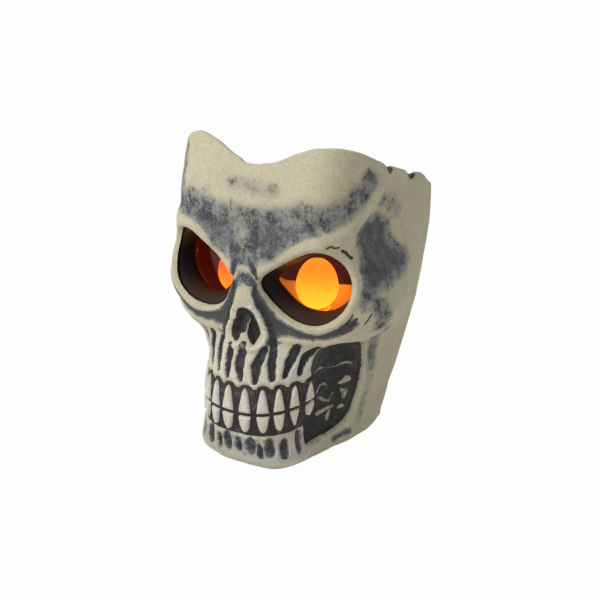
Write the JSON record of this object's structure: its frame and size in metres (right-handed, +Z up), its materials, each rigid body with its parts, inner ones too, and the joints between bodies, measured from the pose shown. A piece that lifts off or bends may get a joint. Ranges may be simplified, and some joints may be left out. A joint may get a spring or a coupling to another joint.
{
  "type": "halloween skull decoration",
  "caption": "Hollow half skull with an open top and flat back, amber lenses before two inner lamps, and a battery door and slide switch in its rear panel.",
  "frame": {"origin": "middle of the flat foot under the jaw, 72 mm in front of the wall plane", "axes": "+Z up, +X toward the skull's own left, +Y toward the wall, so the face looks toward -Y"},
  "size_m": [0.1995, 0.159, 0.251],
  "materials": {
    "bone_plastic": "bone paint with charcoal spray, matt",
    "socket_plastic": "dark brown-black, matt",
    "amber_lens": "clear amber, moulded gloss",
    "lit_bulb": "orange frosted, lit",
    "white_plastic": "white, as moulded",
    "black_plastic": "black, fine grain",
    "board": "green solder mask",
    "clear_led": "clear epoxy",
    "zinc_steel": "bright zinc",
    "cell_jacket": "plain printed jacket, satin",
    "lead_insulation": "soft red insulation"
  },
  "bodies": {
    "skull": {"skull_shell": "bone_plastic", "eye_cup_left": "socket_plastic", "eye_cup_right": "socket_plastic", "eye_lens_left": "amber_lens", "eye_lens_right": "amber_lens", "lamp_bulb_left": "lit_bulb", "lamp_bulb_right": "lit_bulb", "lamp_bar": "white_plastic", "lamp_holder_left": "white_plastic", "lamp_holder_right": "white_plastic", "lens_ring_left": "black_plastic", "lens_ring_right": "black_plastic", "back_panel": "black_plastic", "battery_box": "black_plastic", "switch_body": "black_plastic", "led_board_left": "board", "led_board_right": "board", "led_left": "clear_led", "led_right": "clear_led", "lens_screw_1_left": "zinc_steel", "lens_screw_1_right": "zinc_steel", "lens_screw_2_left": "zinc_steel", "lens_screw_2_right": "zinc_steel", "bar_screw_left": "zinc_steel", "bar_screw_right": "zinc_steel", "holder_screw_left": "zinc_steel", "holder_screw_right": "zinc_steel", "panel_screw_1": "zinc_steel", "panel_screw_2": "zinc_steel", "panel_screw_3": "zinc_steel", "panel_screw_4": "zinc_steel", "panel_screw_5": "zinc_steel", "panel_screw_6": "zinc_steel", "box_screw_1": "zinc_steel", "box_screw_2": "zinc_steel", "hinge_pin": "zinc_steel", "switch_screw_left": "zinc_steel", "switch_screw_right": "zinc_steel", "contact_spring_1": "zinc_steel", "contact_spring_2": "zinc_steel", "contact_spring_3": "zinc_steel", "contact_plate_1": "zinc_steel", "contact_plate_2": "zinc_steel", "contact_plate_3": "zinc_steel", "contact_plate_4": "zinc_steel", "cell_1": "cell_jacket", "cell_2": "cell_jacket", "cell_3": "cell_jacket", "lamp_lead_left": "lead_insulation", "lamp_lead_right": "lead_insulation", "battery_lead": "lead_insulation"},
    "battery_door": {"battery_door": "black_plastic", "door_screw": "zinc_steel"},
    "switch_knob": {"switch_knob": "white_plastic"}
  },
  "joints": [
    {"name": "battery_door_hinge", "type": "hinge", "parent": "skull", "child": "battery_door", "pos_m": [0.02785, 0.0693, 0.0621], "axis": [0, 0, -1], "range_deg": [0, 100]},
    {"name": "switch_slide", "type": "slide", "parent": "skull", "child": "switch_knob", "axis": [-1, 0, 0], "range_m": [0, 0.004]}
  ]
}
